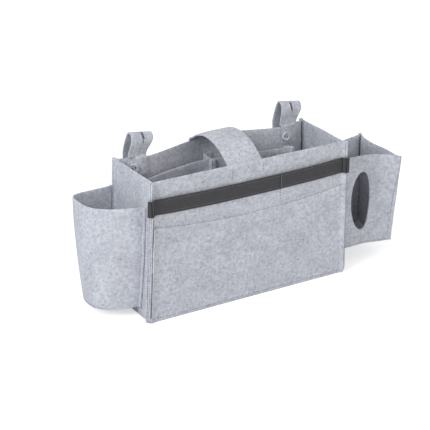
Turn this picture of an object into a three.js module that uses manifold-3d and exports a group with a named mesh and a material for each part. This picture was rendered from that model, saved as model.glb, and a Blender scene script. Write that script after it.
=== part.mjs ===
// Bedside caddy sewn from felt: an open box with dividers, layered front pockets with a dark band,
// a rounded bottle pocket on the left, a boxed tissue pocket with an oval hole on the right,
// a wide handle over the opening and two buttoned hanging loops at the back.
// Millimetres. X runs left to right, Y from front to back, Z up; the origin is on the floor under the handle.
import * as THREE from "three";
import { mergeVertices } from "three/addons/utils/BufferGeometryUtils.js";
import Module from "manifold-3d";

// Felt, clearances and seams
const felt = 2;
const gap = 0.3;
const overrun = 5;
const frontSeam = { out: 6, forward: 6 };
const rearSeam = { out: 2.5, back: 9.5 };
const seamRounding = 4.5;
const seamShares = [0, 0.5, 0.8, 1];

// Body: outer faces of its walls, from the origin
const bodyWidth = 281;
const bodyFront = 51.5;
const bodyRear = 43.8;
const bodyHeight = 188;
const panLip = 8;
const panBend = 3;
const wallRows = 12;
const mouthPieces = 12;
// The felt settles: towards the floor the sides spread and the front draws back
const spread = { left: 7.5, right: 5.5 };
const rightFlare = { low: 110, out: 2 };
const frontDraw = 2.5;

// Rear wall: straight at its foot, drawn in at the hanging straps and pushed out behind the handle
const waveFoot = 50;
const waveOut = 12;
const waveLeft = { troughInset: 32.5, depth: 11.4, crest: 0 };
const waveRight = { troughInset: 35.5, depth: 8.5, crest: 20 };

// Layers on the front. Heights that belong to the rim are given as a rise above it or a drop below it.
const lowerPocketDrop = 59.5;
const lowerPocketDip = 9.5;
const bandThickness = 1.2;
const bandHeight = 21;
const bandDrop = 42.5;
const bandSag = 3;
const bandSlack = 1.5;
const pocketUnderBand = 4;

// Handle strap over the opening
const handleWidth = 50;
const handleCentre = -5;
const handleRise = 18.6;
const handleFrontDrop = 23;
const handleRearDrop = 38;
const handleBend = 4;
const handleShares = [[0, 0], [0.055, 0.12], [0.184, 0.54], [0.328, 0.86], [0.5, 1], [0.64, 0.98],
  [0.807, 0.753], [0.9, 0.47], [0.96, 0.36], [0.99, 0.3], [1, 0.16], [1, 0]];

// Hanging straps; an inset is a centre line's distance from the side face beside it
const strapWidth = 31;
const strapDrop = 84;
const strapSewn = 22;
const strapStandOff = 7.5;
const strapInset = { left: 30, right: 28 };
const tailInset = { left: 24.5, right: 30 };
const hingeRise = 2;
const hingeGap = 0.5;
const archRise = 30.7;
const archRoll = 0.16;
const archShift = 2.5;
const archShares = [[0, 0], [0.08, 0.33], [0.24, 0.68], [0.42, 0.92], [0.62, 1], [0.83, 0.92], [0.96, 0.74],
  [0.95, 0.48], [0.88, 0.22], [0.85, 0]];
const tailWidth = 25;
const tailDrop = 23;
const slitLength = 12;
const slitWidth = 2;
const buttonRadius = 6.5;
const buttonThickness = 2.4;
const buttonRim = 0.7;
const buttonDrop = 12.5;
const buttonSlot = { radius: 0.7, stretch: 3, spacing: 4 };
const buttonShift = 5;
const buttonTurn = 18;

// Dividers
const dividerDrop = 21.5;
const dividerTab = 12;
const dividerSeam = 5;
const dividerMiddle = { x: -9, y: 29 };
const dividerRightInset = 37.5;
const dividerRightY = 14;
const dividerLeftY = 9;
const dividerSlope = 5;
const dividerLipClearance = 2;
const leftDividerShares = [[0, 0], [0.16, 0.05], [0.41, 0.5], [0.67, 0.86], [0.87, 1.1], [1, 1]];

// Bottle pocket, on the left side panel
const bottleReach = 62;
const bottleFront = 34.5;
const bottleDepth = 84;
const bottleFootFront = 29;
const bottleFootDepth = 73.5;
const bottleDrop = 37;
const bottleFloor = 13;
const bottleTab = 5;
const bottleRearTab = 4;
const bottleBulge = 1.6;
const bottleRimShares = [[0, 0], [0.13, 0.02], [0.28, 0.06], [0.42, 0.094], [0.56, 0.137], [0.69, 0.19],
  [0.81, 0.265], [0.91, 0.365], [0.98, 0.5], [1, 0.7], [0.985, 0.85], [0.92, 0.945], [0.776, 0.98],
  [0.5, 0.99], [0.035, 1]];
const bottleFootShares = [[0, 0], [0.09, 0.01], [0.18, 0.027], [0.28, 0.047], [0.37, 0.073], [0.475, 0.11],
  [0.585, 0.16], [0.7, 0.235], [0.8, 0.337], [0.842, 0.51], [0.825, 0.73], [0.75, 0.87], [0.6, 0.94],
  [0.4, 0.97], [0.035, 1]];

// Tissue pocket, on the right side panel
const tissueReach = 100;
const tissueFront = 31;
const tissueDepth = 53;
const tissueFloor = 23;
const tissueDrop = 38;
const tissueTab = 8;
const tissueBulge = 1.3;
const tissueFrontSeam = { rim: { out: 3.5, forward: 7 }, foot: { out: 6, forward: 2.5 } };
const tissueRearSeam = { out: 4, back: 7 };
const tissueFrontShares = {
  rim: [[0.872, -0.358], [0.802, -0.2], [0.712, -0.068], [0.602, 0.026], [0.452, 0.1], [0.25, 0.11], [0, 0.1]],
  foot: [[0.836, -0.17], [0.752, -0.15], [0.668, -0.113], [0.58, -0.07], [0.46, -0.04], [0.25, -0.05], [0, -0.06]],
};
const tissueSideShares = {
  rim: [[0.94, 1.33], [0.9, 1.13], [0.883, 0.9], [0.874, 0.67], [0.877, 0.4], [0.887, 0.08], [0.872, -0.358]],
  foot: [[0.87, 1.15], [0.866, 0.95], [0.862, 0.7], [0.858, 0.5], [0.852, 0.3], [0.845, 0.05], [0.836, -0.17]],
};
const tissueRearShares = {
  rim: [[0, 1], [0.22, 1], [0.42, 1.05], [0.638, 1.18], [0.8, 1.26], [0.94, 1.33]],
  foot: [[0, 1], [0.22, 1], [0.4, 1], [0.57, 1.03], [0.72, 1.08], [0.87, 1.15]],
};
const ovalWidth = 28.5;
const ovalBow = 3;
const ovalFromSide = 44;
const ovalFromRim = 22.5;
const ovalFromFloor = 21.5;
const ovalTilt = 3.5;

// Lines that the pieces share
const sideFace = bodyWidth / 2;
const innerX = sideFace - felt - gap / 2;
const strapLeft = strapInset.left - sideFace;
const strapRight = sideFace - strapInset.right;
const tailLeft = tailInset.left - sideFace;
const tailRight = sideFace - tailInset.right;
const innerFront = bodyFront - felt - gap / 2;
const innerRear = bodyRear - felt - gap / 2;
const halfFelt = felt / 2;
const pitch = felt + gap;
const lowerPocketHeight = bodyHeight - lowerPocketDrop;
const bandFoot = bodyHeight - bandDrop;
const handleCrest = bodyHeight + handleRise;
const handleFrontFoot = bodyHeight - handleFrontDrop;
const handleRearFoot = bodyHeight - handleRearDrop;
const strapFoot = bodyHeight - strapDrop;
const hingeHeight = bodyHeight + hingeRise;
const archCrest = bodyHeight + archRise;
const tailLow = bodyHeight - tailDrop;
const dividerHeight = bodyHeight - dividerDrop;
const bottleHeight = bodyHeight - bottleDrop;
const tissueHeight = bodyHeight - tissueDrop;
const ovalHeight = tissueHeight - tissueFloor - ovalFromRim - ovalFromFloor;
const ovalCentreHeight = tissueFloor + ovalFromFloor + ovalHeight / 2;
const standOff = gap + halfFelt;
const rearLining = bodyRear - felt - standOff;
const rearStanding = bodyRear + standOff;
const frontLining = bodyFront - felt - standOff;

const paleFelt = new THREE.MeshStandardMaterial({ color: 0xc3c6d0, roughness: 0.95, metalness: 0 });
const darkWebbing = new THREE.MeshStandardMaterial({ color: 0x46474a, roughness: 0.6, metalness: 0 });
const buttonPlastic = new THREE.MeshStandardMaterial({ color: 0xb9bcc4, roughness: 0.45, metalness: 0 });

const at = (x, y) => new THREE.Vector2(x, y);
const dividerRight = at(sideFace - dividerRightInset, dividerRightY);

// Every felt piece follows the settled body: its width grows and its front draws back towards the floor.
function settled(geometry) {
  const positions = geometry.attributes.position;
  const spot = new THREE.Vector3();
  for (let i = 0; i < positions.count; i++) {
    spot.fromBufferAttribute(positions, i);
    const fall = 1 - Math.min(spot.z / bodyHeight, 1);
    const reach = spot.x < 0 ? spread.left : spread.right;
    const flare = spot.x > 0 ? rightFlare.out * THREE.MathUtils.smoothstep(spot.z, rightFlare.low, bodyHeight) : 0;
    spot.x += (fall * reach + flare) * THREE.MathUtils.clamp(spot.x / sideFace, -1, 1);
    spot.y += fall * frontDraw * THREE.MathUtils.clamp(-spot.y / frontLining, 0, 1);
    positions.setXYZ(i, spot.x, spot.y, spot.z);
  }
  return geometry;
}

function node(name, geometry, material = paleFelt) {
  const mesh = new THREE.Mesh(settled(geometry), material);
  mesh.name = name;
  return mesh;
}

// How far the rear wall stands off its plane at a place across it and a height.
function rearWave(x, z) {
  const { troughInset, depth, crest } = x < 0 ? waveLeft : waveRight;
  const trough = sideFace - troughInset;
  const away = Math.min(Math.abs(x), innerX);
  const rise = THREE.MathUtils.smoothstep(z, waveFoot, bodyHeight);
  if (away > trough) {
    return (-depth * rise * (1 + Math.cos((Math.PI * (away - trough)) / (innerX - trough)))) / 2;
  }
  const fall = Math.max(0, away - crest) / (trough - crest);
  return (rise * (waveOut - depth + (waveOut + depth) * Math.cos(Math.PI * fall))) / 2;
}

// Moves a path sideways, to the left of its run for a positive distance, with mitred corners.
function offsetPath(points, distance) {
  const left = (i) => {
    const run = points[i + 1].clone().sub(points[i]).normalize();
    return at(-run.y, run.x);
  };
  const last = points.length - 1;
  return points.map((point, i) => {
    const before = left(Math.max(i - 1, 0));
    const after = left(Math.min(i, last - 1));
    const mitre = before.clone().add(after).divideScalar(1 + before.dot(after));
    return point.clone().addScaledVector(mitre, distance);
  });
}

// Points from one place to another, at shares of the way.
const between = (start, end, shares) => shares.map((share) => start.clone().lerp(end, share));
const evenShares = (count) => Array.from({ length: count + 1 }, (_, i) => i / count);
const smoothLine = (points, pieces) => new THREE.SplineCurve(points).getSpacedPoints(pieces);
const mixed = (a, b, share) => a.map((point, i) => point.clone().lerp(b[i], share));

const upright = (a, b, level) => new THREE.Vector3(a, b, level);
const acrossX = (a, b, level) => new THREE.Vector3(level, a, b);
const acrossY = (a, b, level) => new THREE.Vector3(a, level, b);

// A closed sheet. Each row is a path thickened between two sideways offsets and set at its level; rows run
// from share 0 to share 1, place turns path and level into a position, and shape may bend the result.
function sheet({ pathAt, levelAt, rows = 1, from = -halfFelt, to = halfFelt, place = upright, shape = null }) {
  const positions = [];
  const count = pathAt(0).length;
  for (const side of [from, to]) {
    for (const share of evenShares(rows)) {
      const path = pathAt(share);
      offsetPath(path, side).forEach((point, i) => {
        const spot = place(point.x, point.y, levelAt(share, path, i));
        if (shape) shape(spot);
        positions.push(spot.x, spot.y, spot.z);
      });
    }
  }
  const index = [];
  const vertex = (side, row, i) => (side * (rows + 1) + row) * count + i;
  const quad = (a, b, c, d) => index.push(a, b, c, a, c, d);
  const end = count - 1;
  for (let row = 0; row < rows; row++) {
    for (let i = 0; i < end; i++) {
      quad(vertex(0, row, i), vertex(0, row, i + 1), vertex(0, row + 1, i + 1), vertex(0, row + 1, i));
      quad(vertex(1, row, i), vertex(1, row + 1, i), vertex(1, row + 1, i + 1), vertex(1, row, i + 1));
    }
    quad(vertex(0, row, 0), vertex(0, row + 1, 0), vertex(1, row + 1, 0), vertex(1, row, 0));
    quad(vertex(0, row, end), vertex(1, row, end), vertex(1, row + 1, end), vertex(0, row + 1, end));
  }
  for (let i = 0; i < end; i++) {
    quad(vertex(0, 0, i), vertex(1, 0, i), vertex(1, 0, i + 1), vertex(0, 0, i + 1));
    quad(vertex(0, rows, i), vertex(0, rows, i + 1), vertex(1, rows, i + 1), vertex(1, rows, i));
  }
  return facingOut(positions, index);
}

// A geometry from positions and triangles, turned inside out when it encloses a negative volume.
function facingOut(positions, index) {
  const corner = (k) => new THREE.Vector3().fromArray(positions, 3 * index[k]);
  let volume = 0;
  for (let k = 0; k < index.length; k += 3) volume += corner(k).dot(corner(k + 1).cross(corner(k + 2)));
  if (volume < 0) index.reverse();
  const geometry = new THREE.BufferGeometry();
  geometry.setAttribute("position", new THREE.Float32BufferAttribute(positions, 3));
  geometry.setIndex(index);
  return geometry;
}

const wasm = await Module();
wasm.setup();

function solid(geometry) {
  const bare = geometry.clone();
  bare.deleteAttribute("normal");
  bare.deleteAttribute("uv");
  const merged = mergeVertices(bare);
  return new wasm.Manifold(
    new wasm.Mesh({
      numProp: 3,
      vertProperties: new Float32Array(merged.attributes.position.array),
      triVerts: new Uint32Array(merged.index.array),
    }),
  );
}

function geometryOf(manifold) {
  const mesh = manifold.getMesh();
  const geometry = new THREE.BufferGeometry();
  geometry.setAttribute("position", new THREE.Float32BufferAttribute(mesh.vertProperties, 3));
  geometry.setIndex(Array.from(mesh.triVerts));
  return geometry;
}

const joined = (a, b) => geometryOf(solid(a).add(solid(b)));
const cut = (geometry, cutter) => geometryOf(solid(geometry).subtract(solid(cutter)));

// Body walls. Each runs clockwise, seen from above, along its inner face and out along the pinched seam at
// each end, so that positive offsets lie outside.
const corners = {
  frontLeft: at(-innerX, -innerFront),
  frontRight: at(innerX, -innerFront),
  rearLeft: at(-innerX, innerRear),
  rearRight: at(innerX, innerRear),
};
const seamTips = {
  frontLeft: at(-frontSeam.out, -frontSeam.forward).add(corners.frontLeft),
  frontRight: at(frontSeam.out, -frontSeam.forward).add(corners.frontRight),
  rearLeft: at(-rearSeam.out, rearSeam.back).add(corners.rearLeft),
  rearRight: at(rearSeam.out, rearSeam.back).add(corners.rearRight),
};

function wallPath(start, end, pieces = 1) {
  const startSeam = between(corners[start], seamTips[start], seamShares).reverse();
  const endSeam = between(corners[end], seamTips[end], seamShares);
  const middle = between(corners[start], corners[end], evenShares(pieces)).slice(1, -1);
  return [...startSeam, ...middle, ...endSeam];
}

// The lower edge is level and rounds up at the tips of the seams.
function roundedFoot(path, i, low) {
  const fromTip = Math.min(path[i].distanceTo(path[0]), path[i].distanceTo(path[path.length - 1]));
  const short = Math.max(0, seamRounding - fromTip);
  return low + seamRounding - Math.sqrt(seamRounding ** 2 - short ** 2);
}

// Layer 0 is the wall itself; each further layer lies on the one before.
function wall({ path, layer = 0, topAt = () => bodyHeight, shape = null }) {
  const near = gap / 2 + layer * pitch;
  return sheet({
    pathAt: () => path,
    rows: wallRows,
    from: near,
    to: near + felt,
    levelAt: (share, _, i) => THREE.MathUtils.lerp(roundedFoot(path, i, 0), topAt(path[i].x), share),
    shape,
  });
}

function backPanel() {
  const shape = (spot) => (spot.y += rearWave(spot.x, spot.z));
  return wall({ path: wallPath("rearLeft", "rearRight", 54), shape });
}

// The bottom is a pan folded up from a cross of felt: one channel along the body and one across it.
function panChannel(halfFirst, halfSecond, lowFirst, lowSecond, place) {
  const arc = (centre, from, to) =>
    evenShares(3).map((share) => {
      const angle = THREE.MathUtils.lerp(from, to, share);
      return at(centre + panBend * Math.cos(angle), panBend + panBend * Math.sin(angle));
    });
  const path = [
    at(lowFirst, panLip),
    ...arc(lowFirst + panBend, -Math.PI, -Math.PI / 2),
    ...arc(halfFirst - panBend, -Math.PI / 2, 0),
    at(halfFirst, panLip),
  ];
  const levelAt = (share) => THREE.MathUtils.lerp(lowSecond, halfSecond, share);
  return sheet({ pathAt: () => path, from: 0, to: felt, levelAt, place });
}

function bottomPanel() {
  const side = innerX - gap / 2;
  const front = innerFront - gap / 2;
  const rear = innerRear - gap / 2;
  const along = panChannel(rear, side - pitch, -front, -side + pitch, acrossX);
  const across = panChannel(side, rear - pitch, -side, -front + pitch, acrossY);
  return joined(along, across);
}

// The pocket mouths and the band sag between the side seams.
const sag = (x, depth) => depth * Math.max(0, 1 - (x / innerX) ** 2);
const lowerMouth = (x) => lowerPocketHeight - sag(x, lowerPocketDip);
const upperMouth = (x) => bandFoot + bandHeight - pocketUnderBand - sag(x, bandSag);

// The band lies on the upper pocket and wraps across the raw ends of both front seams.
function frontBand() {
  const near = gap / 2 + 2 * pitch;
  const wrapped = (corner, tip, turn) => {
    const run = tip.clone().sub(corner);
    const out = run.clone().normalize();
    const end = corner.clone().addScaledVector(out, run.length() + bandSlack - near);
    const across = at(-out.y, out.x).multiplyScalar(turn * (gap / 2 + felt));
    return [corner, end, end.clone().add(across)];
  };
  const right = wrapped(corners.frontRight, seamTips.frontRight, 1).reverse();
  const left = wrapped(corners.frontLeft, seamTips.frontLeft, -1);
  const middle = between(corners.frontRight, corners.frontLeft, evenShares(24)).slice(1, -1);
  const path = [...right, ...middle, ...left];
  const levelAt = (share, _, i) => bandFoot - sag(path[i].x, bandSag) + bandHeight * share;
  return sheet({ pathAt: () => path, from: near, to: near + bandThickness, levelAt });
}

// Handle: sewn inside the front wall, over the opening and down outside the rear wall.
function handleStrap() {
  const span = rearStanding + frontLining;
  const bend = bodyHeight - handleBend;
  const arch = handleShares.map(([run, rise]) =>
    at(-frontLining + span * run, THREE.MathUtils.lerp(bend, handleCrest, rise)),
  );
  const rearLeg = between(at(rearStanding, bend), at(rearStanding, handleRearFoot), evenShares(4));
  const path = [at(-frontLining, handleFrontFoot), ...smoothLine(arch, 26), ...rearLeg.slice(1)];
  return sheet({
    pathAt: () => path,
    rows: 8,
    levelAt: (share) => handleCentre + handleWidth * (share - 0.5),
    place: acrossX,
    shape: (spot) => {
      const share = THREE.MathUtils.clamp((spot.y + frontLining) / (rearLining + frontLining), 0, 1);
      spot.y += share * rearWave(spot.x, spot.z);
    },
  });
}

// Hanging strap: sewn outside the rear wall at its foot, standing off towards the rim.
function hangingTab(centre) {
  const sewnTop = strapFoot + strapSewn;
  const top = hingeHeight - hingeGap / 2;
  const rise = (z) => THREE.MathUtils.smoothstep(z, sewnTop, top);
  const path = evenShares(10).map((share) => at(rearStanding, THREE.MathUtils.lerp(strapFoot, top, share)));
  return sheet({
    pathAt: () => path,
    rows: 8,
    levelAt: (share) => centre + strapWidth * (share - 0.5),
    place: acrossX,
    shape: (spot) => {
      spot.y += THREE.MathUtils.lerp(rearWave(spot.x, spot.z), strapStandOff, rise(spot.z));
    },
  });
}

// The free arch narrows and leans sideways towards its buttoned end, and has a slit in its crest.
function hangingLoop(centre, tailCentre) {
  const low = hingeHeight + hingeGap / 2;
  const back = rearStanding + strapStandOff;
  const front = rearLining + rearWave(centre, bodyHeight);
  const arch = archShares.map(([run, rise]) =>
    at(THREE.MathUtils.lerp(back, front, run), THREE.MathUtils.lerp(low, archCrest, rise)),
  );
  const path = smoothLine(arch, 26);
  const strap = sheet({
    pathAt: () => path,
    rows: 6,
    levelAt: (share) => centre + strapWidth * (share - 0.5),
    place: acrossX,
    shape: (spot) => {
      const rise = THREE.MathUtils.smoothstep(spot.z, low, archCrest);
      const fall = (1 - rise) * THREE.MathUtils.smoothstep(back - spot.y, 0, back - front);
      const aside = spot.x - centre;
      spot.x = THREE.MathUtils.lerp(spot.x, tailCentre + (aside * tailWidth) / strapWidth, fall) + archShift * rise;
      spot.z -= aside * archRoll * rise;
    },
  });
  const crest = path.reduce((best, point) => (point.y > best.y ? point : best));
  const slit = new THREE.BoxGeometry(slitWidth, slitLength, 2 * slitLength);
  slit.translate(centre + archShift, crest.x - slitLength / 2, crest.y);
  return cut(strap, slit);
}

// The narrower buttoned end lies inside the rear wall.
function hangingTail(centre) {
  const path = [at(rearLining, tailLow), at(rearLining, hingeHeight - hingeGap)];
  return sheet({
    pathAt: () => between(path[0], path[1], evenShares(4)),
    rows: 8,
    levelAt: (share) => centre + tailWidth * (share - 0.5),
    place: acrossX,
    shape: (spot) => (spot.y += rearWave(spot.x, spot.z)),
  });
}

// Button with two slots, lying against the inner face of the buttoned end.
function button(name, centre, turn) {
  const top = buttonThickness;
  const profile = [at(0, 0), at(buttonRadius, 0), at(buttonRadius, top - buttonRim),
    at(buttonRadius - buttonRim, top), at(buttonRadius - 2 * buttonRim, top),
    at(buttonRadius - 3 * buttonRim, top - buttonRim), at(0, top - buttonRim)];
  const disc = new THREE.LatheGeometry(profile, 32);
  const slot = new THREE.CylinderGeometry(buttonSlot.radius, buttonSlot.radius, top + 2 * overrun, 12);
  slot.scale(1, 1, buttonSlot.stretch);
  const [first, second] = [-1, 1].map((side) => slot.clone().translate((side * buttonSlot.spacing) / 2, 0, 0));
  const slotted = cut(cut(disc, first), second).rotateY(THREE.MathUtils.degToRad(turn));
  const mesh = new THREE.Mesh(slotted, buttonPlastic);
  mesh.name = name;
  const height = bodyHeight - buttonDrop;
  const reach = buttonRadius;
  const slope = (rearWave(centre + reach, height) - rearWave(centre - reach, height)) / (2 * reach);
  mesh.rotation.set(Math.PI, 0, Math.atan(slope), "ZYX");
  mesh.position.set(centre, rearLining + rearWave(centre, height) - standOff - gap, height);
  return mesh;
}

// Dividers stand on the pan's floor and step over its lips beside the walls.
function dividerLow(point) {
  const overLip = Math.abs(point.x) > innerX - 3 * pitch || point.y > innerRear - 3 * pitch;
  return overLip ? panLip + dividerLipClearance : felt + gap;
}

function divider(path, { topAt = () => dividerHeight, shape = null } = {}) {
  const levelAt = (share, _, i) => THREE.MathUtils.lerp(dividerLow(path[i]), topAt(path[i]), share);
  return sheet({ pathAt: () => path, rows: 10, levelAt, shape });
}

function longLeftDivider() {
  const wallX = -(innerX - gap / 2 - standOff) + gap;
  const middleX = dividerMiddle.x - pitch;
  const curve = leftDividerShares.map(([run, rise]) =>
    at(THREE.MathUtils.lerp(wallX, middleX, run), THREE.MathUtils.lerp(dividerLeftY, dividerMiddle.y, rise)),
  );
  return divider([
    at(wallX, dividerLeftY - dividerTab),
    ...smoothLine(curve, 20),
    at(middleX, dividerMiddle.y - dividerSeam),
  ]);
}

function longRightDivider() {
  const start = at(dividerMiddle.x + pitch, dividerMiddle.y);
  const end = at(dividerRight.x - pitch, dividerRight.y);
  return divider([
    at(start.x, start.y - dividerSeam),
    ...between(start, end, evenShares(6)),
    at(end.x, end.y - dividerSeam),
  ]);
}

// A cross divider runs from its forward seam to the rear wall and turns along it.
function crossDivider({ x, y }, drop) {
  const rear = rearLining;
  const path = [
    at(x, y - dividerSeam),
    ...between(at(x, y), at(x, rear), evenShares(6)),
    ...between(at(x, rear), at(x + dividerTab, rear), evenShares(3)).slice(1),
  ];
  const shareAt = (place) => THREE.MathUtils.clamp((place - y) / (rear - felt - y), 0, 1);
  return divider(path, {
    topAt: (point) => dividerHeight - drop * shareAt(point.y),
    shape: (spot) => (spot.y += shareAt(spot.y) * rearWave(spot.x, spot.z)),
  });
}

// Bottle pocket: one sheet from its front tab round to the rear seam.
const bottleFace = sideFace + standOff;

function bottleOutline(shares, front, depth) {
  return shares.map(([out, back]) => at(-bottleFace - bottleReach * out, -front + depth * back));
}

function bottlePath(share) {
  const foot = smoothLine(bottleOutline(bottleFootShares, bottleFootFront, bottleFootDepth), 40);
  const rim = smoothLine(bottleOutline(bottleRimShares, bottleFront, bottleDepth), 40);
  return mixed(foot, rim, 1 - (1 - share) ** bottleBulge);
}

function bottleWrap() {
  const withTabs = (share) => {
    const outline = bottlePath(share);
    const start = outline[0];
    const end = outline[outline.length - 1];
    return [at(start.x, start.y - bottleTab), ...outline, at(end.x, end.y + bottleRearTab)];
  };
  return sheet({
    pathAt: withTabs,
    rows: 8,
    levelAt: (share) => THREE.MathUtils.lerp(bottleFloor, bottleHeight, share),
  });
}

// A floor that fills an outline up to a clearance inside its walls.
function pocketFloor(outline, low) {
  const shape = new THREE.Shape(offsetPath(outline, -standOff));
  const plate = new THREE.ExtrudeGeometry(shape, { depth: felt, bevelEnabled: false });
  return plate.translate(0, 0, low);
}

function bottleBase() {
  return pocketFloor(bottlePath(0), bottleFloor);
}

// Tissue pocket: front, side and rear sheets pinched together at its two outer corners.
const tissueFace = sideFace;

function tissueLine(shares, pieces) {
  const place = ([out, back]) => at(tissueFace + tissueReach * out, -tissueFront + tissueDepth * back);
  const foot = smoothLine(shares.foot.map(place), pieces);
  const rim = smoothLine(shares.rim.map(place), pieces);
  return (share) => mixed(foot, rim, 1 - (1 - share) ** tissueBulge);
}

const tissueFrontLine = tissueLine(tissueFrontShares, 18);
const tissueSideLine = tissueLine(tissueSideShares, 8);
const tissueRearLine = tissueLine(tissueRearShares, 14);
const tissueLevel = (share) => THREE.MathUtils.lerp(tissueFloor, tissueHeight, share);
const seamStep = ({ out, forward }) => at(out, -forward);
const frontSeamStep = (share) => seamStep(tissueFrontSeam.foot).lerp(seamStep(tissueFrontSeam.rim), share);
const rearSeamStep = at(tissueRearSeam.out, tissueRearSeam.back);
const outside = { from: gap, to: gap + felt };

function tissueFrontPanel() {
  const pathAt = (share) => {
    const line = tissueFrontLine(share);
    const end = line[line.length - 1];
    return [line[0].clone().add(frontSeamStep(share)), ...line, at(end.x, end.y - tissueTab)];
  };
  const panel = sheet({ pathAt, rows: 8, levelAt: tissueLevel, ...outside });
  const outline = new THREE.Shape(
    evenShares(48).slice(1).map((share) => {
      const angle = 2 * Math.PI * share;
      const bow = ovalBow * Math.sin(angle) ** 2;
      return at(bow + (ovalWidth / 2) * Math.cos(angle), (ovalHeight / 2) * Math.sin(angle));
    }),
  );
  const cutter = new THREE.ExtrudeGeometry(outline, { depth: tissueFront, bevelEnabled: false });
  cutter.rotateZ(-THREE.MathUtils.degToRad(ovalTilt));
  cutter.rotateX(Math.PI / 2);
  cutter.translate(sideFace + ovalFromSide, -tissueFront / 2, ovalCentreHeight);
  return cut(panel, cutter);
}

function tissueSidePanel() {
  const pathAt = (share) => {
    const line = tissueSideLine(share);
    const end = line[line.length - 1];
    return [line[0].clone().add(rearSeamStep), ...line, end.clone().add(frontSeamStep(share))];
  };
  return sheet({ pathAt, rows: 8, levelAt: tissueLevel, ...outside });
}

function tissueRearPanel() {
  const pathAt = (share) => {
    const line = tissueRearLine(share);
    const end = line[line.length - 1];
    return [at(line[0].x, line[0].y + tissueTab), ...line, end.clone().add(rearSeamStep)];
  };
  return sheet({ pathAt, rows: 8, levelAt: tissueLevel, ...outside });
}

function tissueBase() {
  const outline = [...tissueRearLine(0), ...tissueSideLine(0).slice(1, -1), ...tissueFrontLine(0)];
  const inside = offsetPath(outline, -gap).map(({ x, y }) => at(Math.max(x, sideFace + gap), y));
  const shape = new THREE.Shape(inside);
  const plate = new THREE.ExtrudeGeometry(shape, { depth: felt, bevelEnabled: false });
  return plate.translate(0, 0, tissueFloor);
}

const caddy = new THREE.Group();
caddy.add(
  node("front_panel", wall({ path: wallPath("frontRight", "frontLeft") })),
  node("back_panel", backPanel()),
  node("left_side_panel", wall({ path: wallPath("frontLeft", "rearLeft") })),
  node("right_side_panel", wall({ path: wallPath("rearRight", "frontRight") })),
  node("bottom_panel", bottomPanel()),
  node(
    "front_pocket_upper",
    wall({ path: wallPath("frontRight", "frontLeft", mouthPieces), layer: 1, topAt: upperMouth }),
  ),
  node(
    "front_pocket_lower",
    wall({ path: wallPath("frontRight", "frontLeft", mouthPieces), layer: 2, topAt: lowerMouth }),
  ),
  node("front_band", frontBand(), darkWebbing),
  node("bottle_pocket_wrap", bottleWrap()),
  node("bottle_pocket_base", bottleBase()),
  node("tissue_pocket_front", tissueFrontPanel()),
  node("tissue_pocket_side", tissueSidePanel()),
  node("tissue_pocket_back", tissueRearPanel()),
  node("tissue_pocket_base", tissueBase()),
  node("handle_strap", handleStrap()),
  node("divider_long_left", longLeftDivider()),
  node("divider_cross_middle", crossDivider(dividerMiddle, 0)),
  node("divider_long_right", longRightDivider()),
  node("divider_cross_right", crossDivider(dividerRight, dividerSlope)),
);
for (const [side, centre, tailCentre, turn] of [
  ["left", strapLeft, tailLeft, buttonTurn],
  ["right", strapRight, tailRight, -buttonTurn],
]) {
  caddy.add(
    node(`${side}_hanging_tab`, hangingTab(centre)),
    node(`${side}_hanging_loop`, hangingLoop(centre, tailCentre)),
    node(`${side}_hanging_tail`, hangingTail(tailCentre)),
    button(`${side}_button`, tailCentre - buttonShift, turn),
  );
}

export default caddy;
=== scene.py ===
# %% [markdown]
# # A bedside caddy sewn from felt
# The real caddy is cut from one kind of pressed felt, about two millimetres thick, and sewn together. It is an
# open box with dividers, flat front pockets under a dark ribbon, a rounded bottle pocket and a boxed tissue
# pocket. The solid model gives every piece its place. This script dresses it: each felt piece becomes a fine
# mesh with rounded cut edges and slight waves, then come the thread, the buttons, the finishes, and the studio.
# %% Load the frame
import math

import bmesh
import bpy
from mathutils import Matrix, Vector, noise
from mathutils.bvhtree import BVHTree


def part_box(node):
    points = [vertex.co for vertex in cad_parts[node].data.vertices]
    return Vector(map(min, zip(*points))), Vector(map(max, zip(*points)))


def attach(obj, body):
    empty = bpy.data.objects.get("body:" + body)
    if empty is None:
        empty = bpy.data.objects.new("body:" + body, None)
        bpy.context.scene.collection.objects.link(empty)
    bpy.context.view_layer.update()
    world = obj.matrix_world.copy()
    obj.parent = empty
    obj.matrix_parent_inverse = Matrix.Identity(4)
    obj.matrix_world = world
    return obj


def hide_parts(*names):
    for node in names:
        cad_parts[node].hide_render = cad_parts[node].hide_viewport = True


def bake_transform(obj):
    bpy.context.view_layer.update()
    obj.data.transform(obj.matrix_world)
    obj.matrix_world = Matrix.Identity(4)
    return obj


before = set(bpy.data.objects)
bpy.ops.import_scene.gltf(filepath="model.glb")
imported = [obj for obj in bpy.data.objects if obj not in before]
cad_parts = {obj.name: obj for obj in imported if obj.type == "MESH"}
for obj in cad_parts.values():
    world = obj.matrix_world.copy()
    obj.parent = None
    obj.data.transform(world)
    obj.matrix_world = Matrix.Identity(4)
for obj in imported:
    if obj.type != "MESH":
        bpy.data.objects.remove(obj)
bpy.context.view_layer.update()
MM = 0.001

# %% [markdown]
# ## The camera
# A long lens stands to the left of the front and looks a little down, as for a shop picture. The direction is
# written as an azimuth and an elevation, because those are easy to check against the box's own edges. The
# camera is turned with a track quaternion: its minus Z looks at the caddy and its Y stays up.
# %% Set up the camera
AZIMUTH = math.radians(-30.729)
ELEVATION = math.radians(23.557)
EYE = Vector((-0.90873, -1.49249, 0.85761))
LENS = 122.366
SENSOR = 36
SEES_TO = 20

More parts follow.
